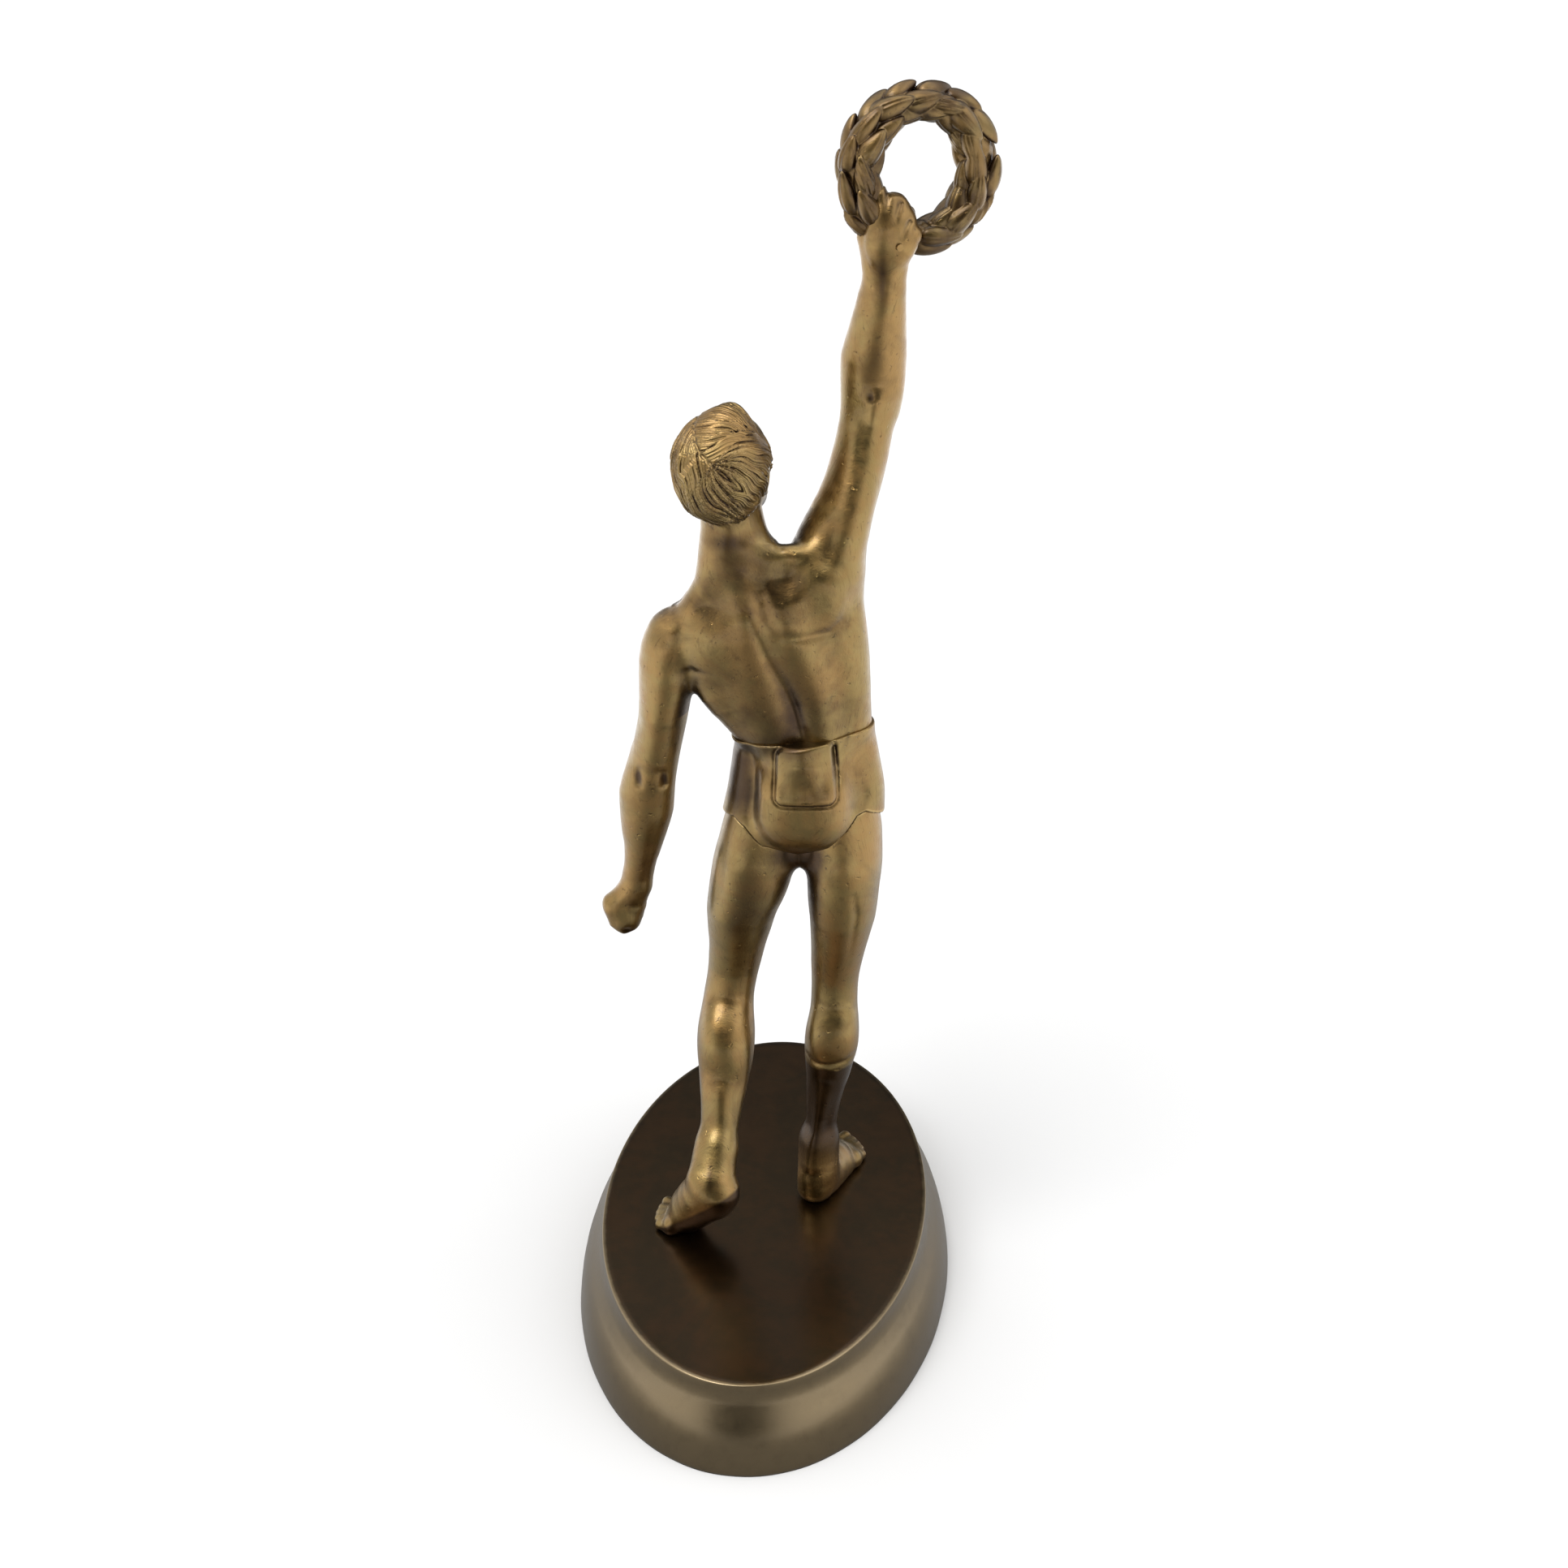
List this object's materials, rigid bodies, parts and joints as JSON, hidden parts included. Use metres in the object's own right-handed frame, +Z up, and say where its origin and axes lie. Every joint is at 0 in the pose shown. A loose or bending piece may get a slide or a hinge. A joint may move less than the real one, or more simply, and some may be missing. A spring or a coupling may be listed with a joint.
{
  "type": "figure trophy",
  "caption": "Bronze trophy of a standing athlete in swim trunks who raises a laurel wreath in the right fist, on an oval moulded plinth.",
  "frame": {"origin": "middle of the plinth's underside", "axes": "+Z up; the figure faces -Y and its raised right arm is on the -X side"},
  "size_m": [0.1364, 0.2164, 0.4197],
  "materials": {
    "figure_bronze": "satin aged bronze patina",
    "wreath_bronze": "satin aged bronze patina, dark in the leaf grooves",
    "plinth_bronze": "satin dark brown patina",
    "steel": "plain steel"
  },
  "bodies": {
    "root": {"plinth": "plinth_bronze", "trunks": "figure_bronze", "torso": "figure_bronze", "head": "figure_bronze", "left_arm": "figure_bronze", "right_arm": "figure_bronze", "left_leg": "figure_bronze", "right_leg": "figure_bronze", "wreath": "wreath_bronze", "neck_dowel": "steel", "waist_dowels": "steel", "left_shoulder_dowel": "steel", "right_shoulder_dowel": "steel", "left_hip_dowel": "steel", "right_hip_dowel": "steel", "wreath_pin": "figure_bronze", "left_foot_stud": "steel", "right_foot_stud": "steel", "left_foot_washer": "steel", "right_foot_washer": "steel", "left_foot_nut": "steel", "right_foot_nut": "steel"}
  },
  "joints": []
}
